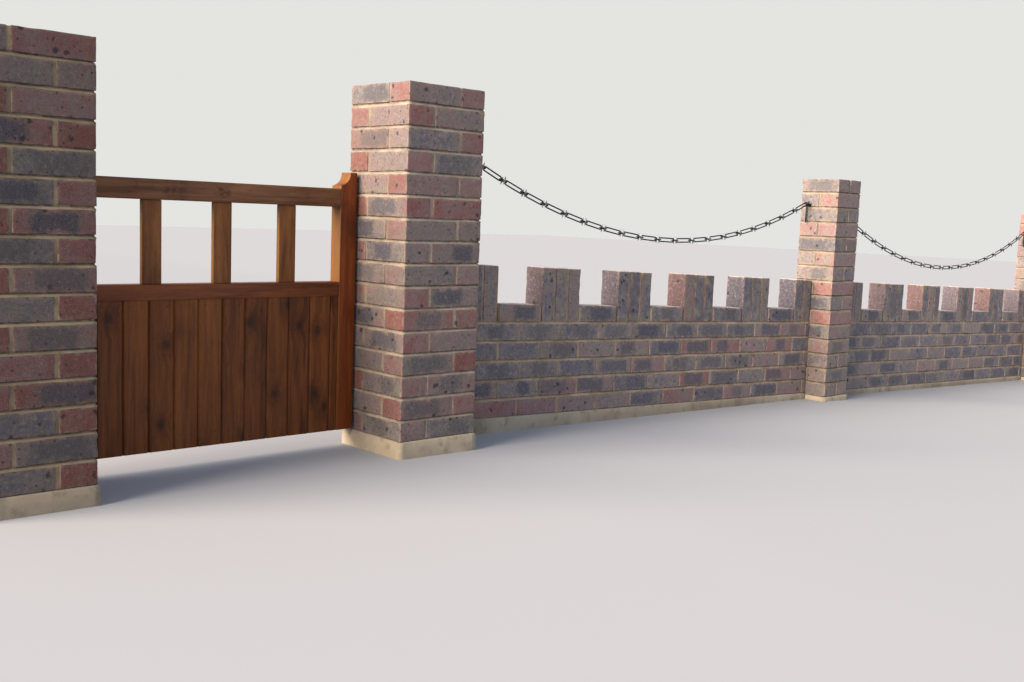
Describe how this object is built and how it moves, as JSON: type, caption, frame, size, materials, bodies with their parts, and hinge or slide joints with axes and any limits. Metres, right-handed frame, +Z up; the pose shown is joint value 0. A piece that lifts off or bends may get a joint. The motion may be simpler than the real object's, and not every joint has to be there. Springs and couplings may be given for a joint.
{
  "type": "battlemented brick garden wall with gate piers and a timber gate",
  "caption": "Low battlemented brick garden wall in bays between piers, with hanging chains and a framed timber gate.",
  "frame": {"origin": "centre of the underside of the gate pier that carries the hinges", "axes": "+X runs along the wall from the gate to the end pier, +Y from the street side to the garden side, +Z up"},
  "size_m": [7.0869, 0.3605, 1.43],
  "materials": {
    "brickwork": "rough",
    "render": "rough",
    "stained_timber": "satin",
    "galvanised_steel": "dull",
    "chain_steel": "satin"
  },
  "bodies": {
    "wall": {"end_pier": "brickwork", "end_pier_plinth": "render", "far_chain": "chain_steel", "far_chain_eyes": "chain_steel", "far_merlon_1": "brickwork", "far_merlon_2": "brickwork", "far_merlon_3": "brickwork", "far_merlon_4": "brickwork", "far_merlon_5": "brickwork", "far_merlon_6": "brickwork", "far_wall": "brickwork", "far_wall_plinth": "render", "left_gate_pier": "brickwork", "left_gate_pier_plinth": "render", "lower_hinge_pin": "galvanised_steel", "middle_pier": "brickwork", "middle_pier_plinth": "render", "near_chain": "chain_steel", "near_chain_eyes": "chain_steel", "near_merlon_1": "brickwork", "near_merlon_2": "brickwork", "near_merlon_3": "brickwork", "near_merlon_4": "brickwork", "near_merlon_5": "brickwork", "near_merlon_6": "brickwork", "near_wall": "brickwork", "near_wall_plinth": "render", "right_gate_pier": "brickwork", "right_gate_pier_plinth": "render", "upper_hinge_pin": "galvanised_steel"},
    "gate": {"baluster_1": "stained_timber", "baluster_2": "stained_timber", "baluster_3": "stained_timber", "boarding": "stained_timber", "bottom_rail": "stained_timber", "brace": "stained_timber", "closing_stile": "stained_timber", "hanging_stile": "stained_timber", "lower_hinge_band": "galvanised_steel", "middle_rail": "stained_timber", "top_rail": "stained_timber", "upper_hinge_band": "galvanised_steel"}
  },
  "joints": [
    {"name": "gate_hinge", "type": "hinge", "parent": "wall", "child": "gate", "pos_m": [-0.16875, 0.17975, 0.646], "axis": [0, 0, -1], "range_deg": [0, 95]}
  ]
}
